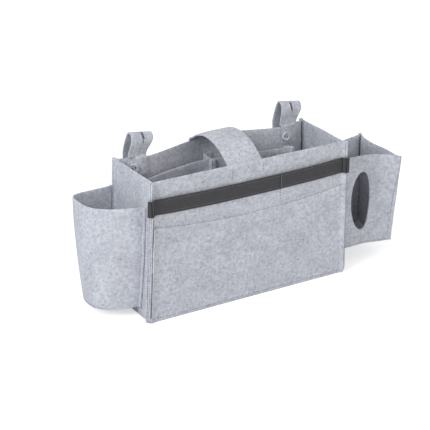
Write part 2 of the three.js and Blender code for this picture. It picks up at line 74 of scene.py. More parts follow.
back = Vector((math.sin(AZIMUTH) * math.cos(ELEVATION), -math.cos(AZIMUTH) * math.cos(ELEVATION),
               math.sin(ELEVATION)))
camera = bpy.data.objects.new("camera", bpy.data.cameras.new("camera"))
camera.data.lens = LENS
camera.data.sensor_width = SENSOR
camera.data.clip_end = SEES_TO
camera.location = EYE
camera.rotation_mode = "QUATERNION"
camera.rotation_quaternion = (-back).to_track_quat("-Z", "Y")
bpy.context.scene.collection.objects.link(camera)
bpy.context.scene.camera = camera
print("camera distance:", round(EYE.length, 3), "m")

# %% [markdown]
# ## How felt is shaped here
# Felt is a stiff sheet, so a piece keeps the solid's outline. What the solid lacks is softness: a knife leaves a
# slightly rounded edge, and no sewn panel stays perfectly flat. A cloth simulation could bend the panels, but
# each one would then have to be fitted to its neighbours again. Here a copy of the solid's mesh is merged, its
# sharp edges are bevelled, and straight cuts through it on a regular grid give it cells that can bend. Then one
# smooth field of small moves is laid over everything. Because all pieces use the same field, layers that lie on
# each other stay a hair apart. Blender starts its noise vectors from the clock, so a seed is set first, and the
# waves come out the same in every run.
# %% Helpers for felt
CELL = 6 * MM
FINE_CELL = 4 * MM
CUT_ROUNDING = 0.45 * MM
ROUNDING_STEPS = 2
WELD = 0.01 * MM
SHARP = math.radians(38)
FLAT = math.radians(0.3)
SLOW_WAVE = (0.9 * MM, 11.0)
QUICK_WAVE = (0.3 * MM, 34.0)
HELD_BELOW = 12 * MM
WAVE_SEED = 4
noise.seed_set(WAVE_SEED)


def waver(point):
    """How far the felt strays from its pattern at a point: two sizes of gentle wave, none at the floor."""
    free = min(max(point.z, 0) / HELD_BELOW, 1)
    return free * sum((reach * noise.noise_vector(point * rate) for reach, rate in (SLOW_WAVE, QUICK_WAVE)),
                      Vector())


def join_triangles(bm):
    """Joins the solid's triangles into the flat faces that they make up."""
    bmesh.ops.dissolve_limit(bm, angle_limit=FLAT, verts=bm.verts, edges=bm.edges)


def merged_copy(*nodes):
    """A copy of one or more solids' meshes, whose loose triangles share their corners."""
    bm = bmesh.new()
    for node in nodes:
        bm.from_mesh(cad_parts[node].data)
    bmesh.ops.remove_doubles(bm, verts=bm.verts, dist=WELD)
    return bm


def cut_into_cells(bm, cell):
    """Straight cuts along X, Y and Z, so that a flat sheet can bend."""
    for axis in range(3):
        places = [v.co[axis] for v in bm.verts]
        low, high = min(places), max(places)
        count = max(1, round((high - low) / cell))
        normal = Vector((0, 0, 0))
        normal[axis] = 1
        for k in range(1, count):
            at = normal * (low + (high - low) * k / count)
            bmesh.ops.bisect_plane(bm, geom=bm.verts[:] + bm.edges[:] + bm.faces[:], plane_co=at,
                                   plane_no=normal, dist=WELD)


def round_edges(bm, offset):
    edges = [e for e in bm.edges if len(e.link_faces) == 2 and e.calc_face_angle(0) > SHARP]
    bmesh.ops.bevel(bm, geom=edges, offset=offset, offset_type="OFFSET", segments=ROUNDING_STEPS, profile=0.5,
                    affect="EDGES", clamp_overlap=True, material=-1)


def soften(bm, cell=CELL, rounding=CUT_ROUNDING):
    """Makes a stiff solid into felt: flat faces, rounded cut edges, cells that can bend, and the waves."""
    join_triangles(bm)
    round_edges(bm, rounding)
    cut_into_cells(bm, cell)
    for v in bm.verts:
        v.co += waver(v.co)
    return bm


def finished(bm, name, body="body"):
    """Turns a bmesh into a smooth-shaded piece that rides on a body."""
    mesh = bpy.data.meshes.new(name)
    bm.to_mesh(mesh)
    bm.free()
    mesh.shade_smooth()
    piece = bpy.data.objects.new(name, mesh)
    bpy.context.scene.collection.objects.link(piece)
    if body:
        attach(piece, body)
    return piece


# %% [markdown]
# ## The felt pieces
# Each piece was cut from the sheet and sewn in. It could be drawn again as a plane with a Solidify modifier, but
# the solid has its outline and its thickness already, so a softened copy takes its place. Each row of the table
# names a solid, the flat size that its felt was cut to, in millimetres along the sheet with the seams, and how it
# is held: a wall is stretched between its seams, and the bottom has its rim folded up. The bottom is a
# cross-shaped cut and the pockets' bases are not rectangles, so their areas are given by themselves. Only the
# solid is read here; the sizes, the holds and the areas are not used, and each copy keeps the solid's shape.
# %% Cut and sew the felt
FELT_PIECES = {
    "front_panel": ((298, 188), "stretched", None),
    "back_panel": ((300, 188), "stretched", None),
    "left_side_panel": ((109, 188), "stretched", None),
    "right_side_panel": ((109, 188), "stretched", None),
    "bottom_panel": ((302, 112), "folded", 29200),
    "front_pocket_upper": ((292, 162), "stretched", None),
    "front_pocket_lower": ((279, 129), "stretched", None),
    "bottle_pocket_wrap": ((170, 138), "stretched", None),
    "bottle_pocket_base": ((70, 51), "stretched", 2860),
    "tissue_pocket_front": ((101, 127), "stretched", None),
    "tissue_pocket_side": ((94, 127), "stretched", None),
    "tissue_pocket_back": ((105, 127), "stretched", None),
    "tissue_pocket_base": ((86, 67), "stretched", 4790),
    "handle_strap": ((50, 176), "stretched", None),
    "divider_long_left": ((149, 164), "stretched", None),
    "divider_cross_middle": ((32, 164), "stretched", None),
    "divider_long_right": ((121, 164), "stretched", None),
    "divider_cross_right": ((41, 164), "stretched", None),
}
felt_pieces = []
for node, ((width, height), held, area) in FELT_PIECES.items():
    piece = finished(soften(merged_copy(node)), "felt_" + node)
    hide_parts(node)
    felt_pieces.append(piece)
    print(piece.name, len(piece.data.polygons), "faces")

# %% [markdown]
# ## The hanging straps
# On the real caddy each hanging strap is one length of felt: sewn outside the rear wall, arched over, and
# buttoned inside it. The solid model splits it in three so that the arch can lean. Three pieces could ride along
# just so, but then the felt would part at the joints. So the three copies are joined again into one piece, and
# their facing ends are bridged. The piece is attached to no body and stays where the solids put it.
# %% Join each strap from its three solids
STRAP_PARTS = ("tab", "loop", "tail")
SPLIT_HEIGHT = 190 * MM
SPLIT_NEAR = 1 * MM
LEGS_APART_AT = 45 * MM


def strap_bmesh(parts):
    """The three solids of one strap in one mesh, with the ends that face each other opened and bridged."""
    bm = merged_copy(*parts)
    ends = [f for f in bm.faces if all(abs(v.co.z - SPLIT_HEIGHT) < SPLIT_NEAR for v in f.verts)]
    bmesh.ops.delete(bm, geom=ends, context="FACES")
    rims = [e for e in bm.edges if e.is_boundary]
    for leg in ([e for e in rims if e.verts[0].co.y > LEGS_APART_AT],
                [e for e in rims if e.verts[0].co.y <= LEGS_APART_AT]):
        bmesh.ops.bridge_loops(bm, edges=leg)
    bmesh.ops.recalc_face_normals(bm, faces=bm.faces)
    print("opened", len(ends), "end faces; open edges left:", sum(e.is_boundary for e in bm.edges))
    return bm


straps = []
for side in ("left", "right"):
    parts = [f"{side}_hanging_{part}" for part in STRAP_PARTS]
    strap = finished(soften(strap_bmesh(parts), cell=FINE_CELL), f"felt_{side}_hanging_strap", body=None)
    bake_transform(strap)
    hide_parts(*parts)
    straps.append(strap)
    print(strap.name, len(strap.data.polygons), "faces")

# %% [markdown]
# ## The dark ribbon
# A woven ribbon lies across the pockets and wraps round the ends of both front seams. A new strip of faces could
# be drawn for it, but its solid already follows the felt behind it. The ribbon is thinner than the felt and has
# tight, even edges, so its copy is cut finer and rounded less.
# %% The ribbon across the front
FINE_ROUNDING = 0.25 * MM

ribbon_bmesh = soften(merged_copy("front_band"), cell=FINE_CELL, rounding=FINE_ROUNDING)
band = finished(ribbon_bmesh, "ribbon_front_band")
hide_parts("front_band")
print(band.name, len(band.data.polygons), "faces")

# %% [markdown]
# ## The buttons
# Each strap closes on a flat button, moulded in the felt's own grey, with two slots for the thread. It could be
# turned anew from a circle, but the solid has the right form already, so a merged copy only gets its edges
# rounded. It moves with the felt that it lies on, as one stiff thing. Two short lengths of nearly black thread
# lie
# sunk in the slots: the thread that holds the button on, made nearly black as painted shade in the slots.
# %% Round the buttons
BUTTON_THREAD_AND_SHADE = (3.4 * MM, 1.0 * MM, 1.0 * MM)
BUTTON_SLOTS_APART = 4 * MM
BUTTON_SLOT_TURN = math.radians(18)
BUTTON_SUNK = 0.5 * MM


def middle_of(node):
    low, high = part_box(node)
    return (Vector(low) + Vector(high)) / 2


def add_stitch(bm, spot, along, away, size):
    """One stitch: a small ball drawn out along the seam and flattened onto the cloth."""
    side = away.cross(along).normalized()
    frame_turn = Matrix((along.normalized(), side, away.normalized())).transposed().to_4x4()
    shape = Matrix.Translation(spot) @ frame_turn @ Matrix.Diagonal((*size, 1))
    bmesh.ops.create_icosphere(bm, subdivisions=1, radius=0.5, matrix=shape)


buttons, button_threads_and_shade = [], []
for side, turn in (("left", 1), ("right", -1)):
    node = f"{side}_button"
    middle = middle_of(node)
    move = waver(middle)
    bm = merged_copy(node)
    join_triangles(bm)
    round_edges(bm, FINE_ROUNDING)
    bmesh.ops.translate(bm, verts=bm.verts, vec=move)
    button = finished(bm, f"button_{side}")
    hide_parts(node)
    buttons.append(button)
    slot_way = Vector((-turn * math.sin(BUTTON_SLOT_TURN), 0, math.cos(BUTTON_SLOT_TURN)))
    across = slot_way.cross(Vector((0, 1, 0)))
    # Nearly black thread in the two slots, as painted shade in them.
    bm = bmesh.new()
    for step in (-0.5, 0.5):
        spot = middle + move + across * step * BUTTON_SLOTS_APART + Vector((0, -BUTTON_SUNK, 0))
        add_stitch(bm, spot, slot_way, Vector((0, -1, 0)), BUTTON_THREAD_AND_SHADE)
    button_threads_and_shade.append(finished(bm, f"thread_{side}_button"))
    print(button.name, "moved by", [round(c / MM, 2) for c in move], "mm")

# %% [markdown]
# ## Sewing
# A lockstitch shows as a row of short dashes that pull slightly into the felt. Dashes could be painted into the
# felt's colour, but they would lie flat, so every stitch is modelled. Each row is given as a line in front of the
# cloth and a direction to look in. Rays along that direction find the felt, so the row follows every wave of it,
# and stitches are then set at even steps along what was found. One stitch is a ball of twenty faces, drawn out
# and flattened, because there are hundreds.
# %% Helpers for a row of stitches
STITCH = (2.6 * MM, 1.0 * MM, 0.5 * MM)
STITCH_STEP = 3.6 * MM
PROBE_STEP = 0.6 * MM
STAND_BACK = 14 * MM
REACH = 40 * MM
FROM_FRONT, FROM_REAR = Vector((0, 1, 0)), Vector((0, -1, 0))
FROM_LEFT, FROM_RIGHT = Vector((1, 0, 0)), Vector((-1, 0, 0))


def tree_of(pieces):
    bm = bmesh.new()
    for piece in pieces:
        bm.from_mesh(piece.data)
    tree = BVHTree.FromBMesh(bm)
    bm.free()
    return tree


def found_on(tree, line, look):
    """Places and normals on the cloth behind a line of points given in millimetres."""
    found = []
    points = [Vector(point) * MM for point in line]
    for start, end in zip(points, points[1:]):
        steps = max(1, round((end - start).length / PROBE_STEP))
        for k in range(steps):
            spot, normal, _, _ = tree.ray_cast(start.lerp(end, k / steps) - look * STAND_BACK, look, REACH)
            if spot:
                found.append((spot, normal))
    return found


def sew(bm, tree, line, look, size=STITCH, step=STITCH_STEP, slant=0.0):
    """Sets stitches along a line and counts them. A slant turns them left and right, as in a zigzag."""
    found = found_on(tree, line, look)
    walked, count = 0.0, 0
    for (before, _), (spot, normal) in zip(found, found[1:]):
        walked += (spot - before).length
        if walked >= step:
            walked, count = 0.0, count + 1
            aside = normal.cross(spot - before).normalized()
            along = (spot - before).normalized() + aside * slant * (-1) ** count
            add_stitch(bm, spot, along - normal * along.dot(normal), normal, size)
    return count


# %% [markdown]
# ## Where the seams run
# The box is sewn at its four pinched corners and round its foot, through the turned-up edge of the bottom. The
# handle, the pockets and the straps have their own rows, and one upright seam runs on below the ribbon and holds
# the pocket behind it. Lines are in millimetres, a little outside the felt that they are sewn on. The walls
# spread towards the floor, and the rows beside the corners follow them.
# %% List the rows in the felt
LEFT, RIGHT, FRONT, REAR, RIM = -140.5, 140.5, -51.5, 43.8, 188
SPREAD_LEFT, SPREAD_RIGHT = -7.5, 5.5
FOOT_ROW = 4.5
CORNER_LOW, CORNER_HIGH = 6, 186
STRAP_CENTRES = (-110.5, 112.5)
STRAP_BOX_HALF, STRAP_BOX_LOW, STRAP_BOX_HIGH = 12.5, 107, 124


def upright(x, y, low, high, spread=0.0):
    """An upright line whose foot stands further out along X."""
    return [(x + spread * (1 - low / RIM), y, low), (x + spread * (1 - high / RIM), y, high)]


def corner(x, y, spread):
    return upright(x, y, CORNER_LOW, CORNER_HIGH, spread)


felt_rows = [
    # round the foot
    ([(LEFT - 4, FRONT, FOOT_ROW), (RIGHT + 4, FRONT, FOOT_ROW)], FROM_FRONT),
    ([(LEFT - 4, REAR, FOOT_ROW), (RIGHT + 4, REAR, FOOT_ROW)], FROM_REAR),
    ([(LEFT - 7, FRONT + 2, FOOT_ROW), (LEFT - 7, REAR - 2, FOOT_ROW)], FROM_LEFT),
    ([(RIGHT + 6, FRONT + 2, FOOT_ROW), (RIGHT + 6, REAR - 2, FOOT_ROW)], FROM_RIGHT),
    # the four pinched corners
    (corner(RIGHT + 2.4, FRONT, SPREAD_RIGHT), FROM_FRONT),
    (corner(RIGHT + 6, FRONT - 2, SPREAD_RIGHT), FROM_RIGHT),
    (corner(LEFT - 0.6, FRONT, SPREAD_LEFT), FROM_FRONT),
    (corner(LEFT - 6, FRONT - 1.5, SPREAD_LEFT), FROM_LEFT),
    (corner(LEFT, REAR + 3, SPREAD_LEFT), FROM_LEFT),
    (corner(RIGHT, REAR + 3, SPREAD_RIGHT), FROM_RIGHT),
    (corner(LEFT + 4, REAR, SPREAD_LEFT), FROM_REAR),
    (corner(RIGHT - 4, REAR, SPREAD_RIGHT), FROM_REAR),
    # the handle's ends, the rear wall's inside beside them, and the seam below the ribbon
    (upright(-26, FRONT, 168, 186), FROM_FRONT),
    (upright(19, FRONT, 168, 186), FROM_FRONT),
    (upright(-26, REAR + 12, 152, 184), FROM_REAR),
    (upright(16, REAR + 12, 152, 184), FROM_REAR),
    ([(-26, REAR + 12, 153), (16, REAR + 12, 153)], FROM_REAR),
    (upright(-24, REAR + 4, 168, 184), FROM_FRONT),
    (upright(-13, REAR + 4, 168, 184), FROM_FRONT),
    (upright(44, FRONT - 5, 121, 143), FROM_FRONT),
    # the pockets on the side walls
    (upright(LEFT, -37.2, 16, 149, SPREAD_LEFT), FROM_LEFT),
    (upright(RIGHT, -35.5, 26, 148, SPREAD_RIGHT), FROM_RIGHT),
    (upright(RIGHT, 27, 26, 148, SPREAD_RIGHT), FROM_RIGHT),
    # the tissue pocket's own seams
    ([(228.5, -50, 26), (230, -50, 90), (232.3, -50, 148)], FROM_FRONT),
    ([(147, -32, 25.5), (227, -42, 25.5)], FROM_FRONT),
    ([(227, -40, 25.5), (227, 28, 25.5)], FROM_RIGHT),
    ([(147, 24, 25.5), (227, 30, 25.5)], FROM_REAR),
    ([(229, 29, 26), (234, 38, 148)], FROM_RIGHT),
    # the right cross divider, seen through the opening
    (upright(114, REAR - 12, 12, 158), FROM_FRONT),
]
for centre in STRAP_CENTRES:
    near, far = centre - STRAP_BOX_HALF, centre + STRAP_BOX_HALF
    box_row = [(near, REAR + 4, STRAP_BOX_LOW), (far, REAR + 4, STRAP_BOX_LOW), (far, REAR + 4, STRAP_BOX_HIGH),
               (near, REAR + 4, STRAP_BOX_HIGH), (near, REAR + 4, STRAP_BOX_LOW)]
    felt_rows.append((box_row, FROM_REAR))
print("rows in the felt:", len(felt_rows))

# %% [markdown]
# ## The thread in the felt
# All rows go into one mesh, because they share one thread. The row round the bottle pocket's foot is curved, and
# a straight line with one direction would miss its sides. So its rays come from all round the pocket and look at
# a point inside it, and one stitch is set every three degrees.
# %% Sew the felt
BOTTLE_MIDDLE = Vector((-150, 8, 16))
BOTTLE_AROUND = 75
BOTTLE_DEGREES = range(204, 95, -3)

cloth = tree_of(felt_pieces + straps)
bm = bmesh.new()
stitches = sum(sew(bm, cloth, line, look) for line, look in felt_rows)
for degrees in BOTTLE_DEGREES:
    way = Vector((math.cos(math.radians(degrees)), math.sin(math.radians(degrees)), 0))
    after = Vector((math.cos(math.radians(degrees - 1)), math.sin(math.radians(degrees - 1)), 0))
    spot, normal, _, _ = cloth.ray_cast(BOTTLE_MIDDLE * MM + way * BOTTLE_AROUND * MM, -way, 2 * REACH)
    if spot:
        add_stitch(bm, spot, after - way, normal, STITCH)
        stitches += 1
felt_thread_piece = finished(bm, "thread_felt_seams")
print("stitches in the felt:", stitches)

# %% [markdown]
# ## Painted shade inside the corners
# Where two walls are pinched together, the seam lies deep between them in shade. That shade is painted: longer
# stitches of nearly black thread, so close that they overlap, are sewn into these corners as one dark line. One
# more such row, on the left wall just below the bottle pocket's base, is painted shadow under that base. A dark
# stripe in the material could stand for it, but it would have to be placed by hand and would lie on top. The slit
# in each strap gets painted shade too: dark stitches along its sides stand for the shade inside it, and they ride
# on the loop, so that they lean with it.
# %% Paint shade into the corners and the slits
INTO_REAR_RIGHT = Vector((1, 1, 0)).normalized()
CORNER_SHADE_STITCH = (3.8 * MM, 0.9 * MM, 0.8 * MM)
WIDE_CORNER_SHADE_STITCH = (4.4 * MM, 1.5 * MM, 1.1 * MM)
CORNER_STEP = 2.2 * MM
SLIT_SHADE_STITCH = (2.2 * MM, 1.5 * MM, 0.8 * MM)
SLIT_STEP = 1.2 * MM
SLIT_SIDES = (-1.0, 1.0)
SLIT_CENTRES = {"left": -108.0, "right": 116.6}
SLIT_LOOK = Vector((0, 0.8, -0.6))
SLIT_BEHIND = 36
SLIT_LINE = ((0, 2), (0.5, 4), (3, 7.5), (8, 9.5))

# Nearly black rows of painted shade: the rear right corner, the front left corner, painted shadow below the
# bottle pocket's base, and the tissue pocket's rear corner.
seam_and_shade_rows = (
    (upright(RIGHT - 1.6, REAR - 1.6, 12, 187.5, SPREAD_RIGHT), INTO_REAR_RIGHT, WIDE_CORNER_SHADE_STITCH),
    (upright(LEFT - 0.2, FRONT, 8, 142, SPREAD_LEFT), FROM_FRONT, CORNER_SHADE_STITCH),
    ([(LEFT - 7, -37, 12.5), (LEFT - 7, -16, 12.5)], FROM_LEFT, CORNER_SHADE_STITCH),
    ([(231.8, 33.5, 116), (232.5, 35.0, 149)], INTO_REAR_RIGHT, WIDE_CORNER_SHADE_STITCH),
)
bm = bmesh.new()
deep = sum(sew(bm, cloth, line, look, size=size, step=CORNER_STEP) for line, look, size in seam_and_shade_rows)
shade_thread_pieces = [finished(bm, "thread_seams_and_painted_shade")]
# Painted shade in each slit: dark stitches along both its sides stand for the shade inside it.
for side, centre in SLIT_CENTRES.items():
    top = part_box(f"{side}_hanging_loop")[1][2] / MM
    bm = bmesh.new()
    for aside in SLIT_SIDES:
        line = [(centre + aside, SLIT_BEHIND - out, top - drop) for drop, out in SLIT_LINE]
        deep += sew(bm, cloth, line, SLIT_LOOK, size=SLIT_SHADE_STITCH, step=SLIT_STEP)
    shade_thread_pieces.append(finished(bm, f"thread_{side}_slit_shade", body=f"{side}_loop"))
print("deep stitches:", deep)

# %% [markdown]
# ## Thread on the ribbon
# The ribbon's ends are closed with a dense dark zigzag beside each corner. A dark row and a pale one cross it
# side by side to the right of the middle, and fine pale stitches run along both edges. The same helper sews all
# of them, so only sizes, steps and places are listed.
# %% List the rows on the ribbon
BEFORE_RIBBON = FRONT - 5
RIBBON_LOW, RIBBON_HIGH = 143, 168
ZIGZAG = {"size": (3.6 * MM, 1.1 * MM, 0.9 * MM), "step": 1.7 * MM, "slant": 0.9}
ZIGZAG_PLACES = (-145.5, -142.5, -138.0, 138.5, 142.5, 145.0)
DARK_ROW, DARK_PLACE = {"size": (2.8 * MM, 1.5 * MM, 0.7 * MM), "step": 2.4 * MM}, 42.4
PALE_ROW, PALE_PLACE = {"size": (2.2 * MM, 1.1 * MM, 0.6 * MM), "step": 2.9 * MM}, 44
EDGE_ROW = {"size": (1.6 * MM, 0.55 * MM, 0.35 * MM), "step": 3.4 * MM}
EDGE_HEIGHTS = (3.2, 18.6)
EDGE_PLACES = range(-130, 136, 5)
RIBBON_FOOT, RIBBON_SAG, RIBBON_HALF = 145.5, 3, 138


def across_ribbon(x):
    return upright(x, BEFORE_RIBBON, RIBBON_LOW, RIBBON_HIGH)


print("zigzag rows:", len(ZIGZAG_PLACES), "edge rows:", len(EDGE_HEIGHTS))

# %% [markdown]
# The rays look at the ribbon's own mesh, so that no stitch lands on the felt above or below it. The rows along
# its edges follow a shallow curve that is lowest in the middle, as the ribbon sags a little between the corners.
# The dark ribbon thread and the pale one are two meshes, because they get different materials.
# %% Sew the ribbon
ribbon_tree = tree_of([band])
bm = bmesh.new()
dark = sum(sew(bm, ribbon_tree, across_ribbon(x), FROM_FRONT, **ZIGZAG) for x in ZIGZAG_PLACES)
dark += sew(bm, ribbon_tree, across_ribbon(DARK_PLACE), FROM_FRONT, **DARK_ROW)
ribbon_end_thread = finished(bm, "thread_ribbon_ends")
bm = bmesh.new()
pale = sew(bm, ribbon_tree, across_ribbon(PALE_PLACE), FROM_FRONT, **PALE_ROW)
for height in EDGE_HEIGHTS:
    line = [(x, BEFORE_RIBBON, RIBBON_FOOT + height - RIBBON_SAG * (1 - (x / RIBBON_HALF) ** 2))
            for x in EDGE_PLACES]
    pale += sew(bm, ribbon_tree, line, FROM_FRONT, **EDGE_ROW)
ribbon_seam_thread = finished(bm, "thread_ribbon_seam")
print("stitches in the ribbon:", dark, "dark,", pale, "pale")

# %% [markdown]
# ## Finishes made of nodes
# Every finish below is a small tree of nodes. It could be clicked together in the Shader Editor; in a script,
# each node and each of its sockets takes a line. A few helpers shorten that, and any socket takes either a plain
# value or another node's output.
# %% Helpers for nodes
def new_node(tree, kind, **settings):
    node = tree.nodes.new(kind)
    for name, value in settings.items():
        setattr(node, name, value)
    return node


def feed(tree, socket, value):
    """Links another node's output to a socket, or writes a plain value into it."""
    if isinstance(value, bpy.types.NodeSocket):
        tree.links.new(value, socket)
    else:
        socket.default_value = value


def maths(tree, operation, first, second):
    node = new_node(tree, "ShaderNodeMath", operation=operation)
    feed(tree, node.inputs[0], first)
    feed(tree, node.inputs[1], second)
    return node.outputs["Value"]


def object_place(tree):
    return new_node(tree, "ShaderNodeTexCoord").outputs["Object"]


def noise_of(tree, vector, scale, detail, roughness=0.5):
    node = new_node(tree, "ShaderNodeTexNoise")
    for label, value in (("Vector", vector), ("Scale", scale), ("Detail", detail), ("Roughness", roughness)):
        feed(tree, node.inputs[label], value)
    return node.outputs["Fac"]


def ramp_of(tree, value, low, high):
    node = new_node(tree, "ShaderNodeMapRange", clamp=True, interpolation_type="SMOOTHSTEP")
    for label, setting in (("Value", value), ("From Min", low), ("From Max", high)):
        feed(tree, node.inputs[label], setting)
    return node.outputs["Result"]


# %% [markdown]
# ## Felt fibres as a node group
# Pressed felt is a mat of pale fibres with a few darker ones mixed in. Seen from a metre away it is mottled; from
# close by, short hairs cross in every direction. Real hairs could be grown by a particle system, but they would
# be many thousands of strands, and noise in the object's own space shows the same without any. The group holds a
# soft cloudiness, three sets of long thin streaks turned three ways, and fine flecks. It puts out the cloudiness,
# masks of the dark hairs and of the flecks, and a height for the bump, and the material mixes them.
# %% Build the fibre group
def new_group(name, inputs, outputs):
    group = bpy.data.node_groups.new(name, "ShaderNodeTree")
    for label in inputs:
        group.interface.new_socket(label, in_out="INPUT", socket_type="NodeSocketFloat")
    for label in outputs:
        group.interface.new_socket(label, in_out="OUTPUT", socket_type="NodeSocketFloat")
    return group, group.nodes.new("NodeGroupInput"), group.nodes.new("NodeGroupOutput")


STREAK_TURNS = ((0.2, 0.9, 0.3), (0.4, -0.7, 1.2), (0.3, 1.5, -0.6))
STREAK_THIN = 9.0
HAIR_RAMP = (0.64, 0.78)
FLECK_RAMP = (0.55, 0.68)
CLOUD_HEIGHT = 0.6

felt_fibres, asked, given = new_group("felt fibres", ("Cloud Scale", "Hair Scale", "Fleck Scale"),
                                      ("Cloud", "Hairs", "Flecks", "Height"))
place = object_place(felt_fibres)
cloud = noise_of(felt_fibres, place, asked.outputs["Cloud Scale"], detail=5.0, roughness=0.72)
streaks = []
for turn in STREAK_TURNS:
    mapping = new_node(felt_fibres, "ShaderNodeMapping")
    for label, value in (("Vector", place), ("Rotation", turn), ("Scale", (1, STREAK_THIN, STREAK_THIN))):
        feed(felt_fibres, mapping.inputs[label], value)
    streaks.append(noise_of(felt_fibres, mapping.outputs["Vector"], asked.outputs["Hair Scale"], detail=1.0))
hairs = maths(felt_fibres, "MAXIMUM", maths(felt_fibres, "MAXIMUM", streaks[0], streaks[1]), streaks[2])
flecks = noise_of(felt_fibres, place, asked.outputs["Fleck Scale"], detail=4.0, roughness=0.75)
height = maths(felt_fibres, "ADD", hairs, maths(felt_fibres, "MULTIPLY", cloud, CLOUD_HEIGHT))
feed(felt_fibres, given.inputs["Cloud"], cloud)
feed(felt_fibres, given.inputs["Hairs"], ramp_of(felt_fibres, hairs, *HAIR_RAMP))
feed(felt_fibres, given.inputs["Flecks"], ramp_of(felt_fibres, flecks, *FLECK_RAMP))
feed(felt_fibres, given.inputs["Height"], height)
print("fibre group nodes:", len(felt_fibres.nodes))

# %% [markdown]
# ## From nodes to a material
# A new material comes with one Principled shader, which is enough for everything here. Its sockets are set by
# name, two colours are mixed by a mask, and a height goes through a Bump node. The bump only shades what is finer
# than the mesh; the edges and the waves are real.
# %% Helpers for materials
def colour_mix(tree, factor, first, second):
    """Mixes two colours. The Mix node keeps its colour sockets behind those for numbers and vectors."""
    node = new_node(tree, "ShaderNodeMix", data_type="RGBA")
    colours = [socket for socket in node.inputs if socket.type == "RGBA"]
    for socket, value in zip((node.inputs["Factor"], *colours), (factor, first, second)):
        feed(tree, socket, value)
    return [socket for socket in node.outputs if socket.type == "RGBA"][0]


def new_material(name):
    material = bpy.data.materials.new(name)
    material.use_nodes = True
    tree = material.node_tree
    return material, tree, tree.nodes["Principled BSDF"]


def set_shader(tree, shader, values):
    for label, value in values.items():
        feed(tree, shader.inputs[label], value)


def bump(tree, shader, height, strength, distance):
    node = new_node(tree, "ShaderNodeBump")
    for label, value in (("Strength", strength), ("Distance", distance), ("Height", height)):
        feed(tree, node.inputs[label], value)
    feed(tree, shader.inputs["Normal"], node.outputs["Normal"])


def fibres_in(tree, cloud, hair, fleck):
    node = new_node(tree, "ShaderNodeGroup", node_tree=felt_fibres)
    for label, scale in (("Cloud Scale", cloud), ("Hair Scale", hair), ("Fleck Scale", fleck)):
        feed(tree, node.inputs[label], scale)
    return node.outputs


# %% [markdown]
# ## The felt finish
# The colour runs between a paler and a deeper blue grey by the cloudiness. Larger patches are a little deeper and
# hold more dark flecks, as a pressed mat is never quite even, and the dark hairs are laid over everything. Felt
# has no gloss, so it is rough, with a little sheen for the fuzz that catches light at grazing angles. One plain
# grey with more bump could do from afar, but it would look like plaster from close by.
# %% Make the felt material
FELT_PALE = (0.604, 0.614, 0.66, 1)
FELT_DEEP = (0.392, 0.40, 0.444, 1)
HAIR_COLOUR = (0.19, 0.20, 0.23, 1)
FLECK_COLOUR = (0.17, 0.178, 0.214, 1)
PATCH_COLOUR = (0.40, 0.408, 0.45, 1)
CLOUD_RAMP = (0.28, 0.66)
PATCH_RAMP = (0.38, 0.66)
PATCH_SCALE = 42.0
PATCH_SHARE = 0.35
HAIR_SHARE = 0.5
FLECK_SHARE, FLECK_SHARE_IN_PATCH = 0.5, 0.6

felt, tree, shader = new_material("pressed felt")
fibres = fibres_in(tree, cloud=225.0, hair=135.0, fleck=380.0)
patches = ramp_of(tree, noise_of(tree, object_place(tree), PATCH_SCALE, detail=4.0), *PATCH_RAMP)
ground = colour_mix(tree, ramp_of(tree, fibres["Cloud"], *CLOUD_RAMP), FELT_DEEP, FELT_PALE)
ground = colour_mix(tree, maths(tree, "MULTIPLY", patches, PATCH_SHARE), ground, PATCH_COLOUR)
fleck_strength = maths(tree, "ADD", maths(tree, "MULTIPLY", patches, FLECK_SHARE_IN_PATCH), FLECK_SHARE)
ground = colour_mix(tree, maths(tree, "MULTIPLY", fibres["Flecks"], fleck_strength), ground, FLECK_COLOUR)
ground = colour_mix(tree, maths(tree, "MULTIPLY", fibres["Hairs"], HAIR_SHARE), ground, HAIR_COLOUR)
set_shader(tree, shader, {"Base Color": ground, "Roughness": 0.95, "Specular IOR Level": 0.15,
                          "Sheen Weight": 0.12, "Sheen Roughness": 0.6})
bump(tree, shader, fibres["Height"], strength=0.5, distance=0.4 * MM)
for piece in felt_pieces + straps:
    piece.data.materials.append(felt)
print("felt laid on", len(felt_pieces + straps), "pieces; nodes:", len(tree.nodes))

# %% [markdown]
# ## The ribbon's finish
# The ribbon is woven: fine ribs cross it from edge to edge, and the warp runs along it. Modelled threads would
# take far more faces than such a narrow strip is worth. So a wave texture along X makes the ribs, a finer one
# along Z breaks them up, and both feed the bump. The colour is a dark grey that lifts a little on the ribs.
# %% Make the ribbon material
RIBBON_DARK = (0.011, 0.011, 0.0125, 1)
RIBBON_LIGHT = (0.066, 0.065, 0.068, 1)
RIB_RATES = (("X", 260.0), ("Z", 420.0))
WARP_SHARE = 0.4
WEAVE_SHARE = 0.6
MOTTLED_SCALE = 180.0

ribbon, tree, shader = new_material("woven ribbon")
place = object_place(tree)
ribs = []
for direction, rate in RIB_RATES:
    wave = new_node(tree, "ShaderNodeTexWave", wave_type="BANDS", bands_direction=direction)
    for label, value in (("Vector", place), ("Scale", rate), ("Distortion", 0.6), ("Detail", 1.0)):
        feed(tree, wave.inputs[label], value)
    ribs.append(wave.outputs["Fac"])
warp = maths(tree, "ADD", maths(tree, "MULTIPLY", ribs[1], WARP_SHARE), 1 - WARP_SHARE)
weave = maths(tree, "MULTIPLY", ribs[0], warp)
mottled = maths(tree, "ADD", maths(tree, "MULTIPLY", weave, WEAVE_SHARE),
                maths(tree, "MULTIPLY", noise_of(tree, place, MOTTLED_SCALE, detail=3.0), 1 - WEAVE_SHARE))
set_shader(tree, shader, {"Base Color": colour_mix(tree, mottled, RIBBON_DARK, RIBBON_LIGHT),
                          "Roughness": 0.7, "Sheen Weight": 0.1})
bump(tree, shader, weave, strength=0.7, distance=0.3 * MM)
band.data.materials.append(ribbon)
print("ribbon nodes:", len(tree.nodes))
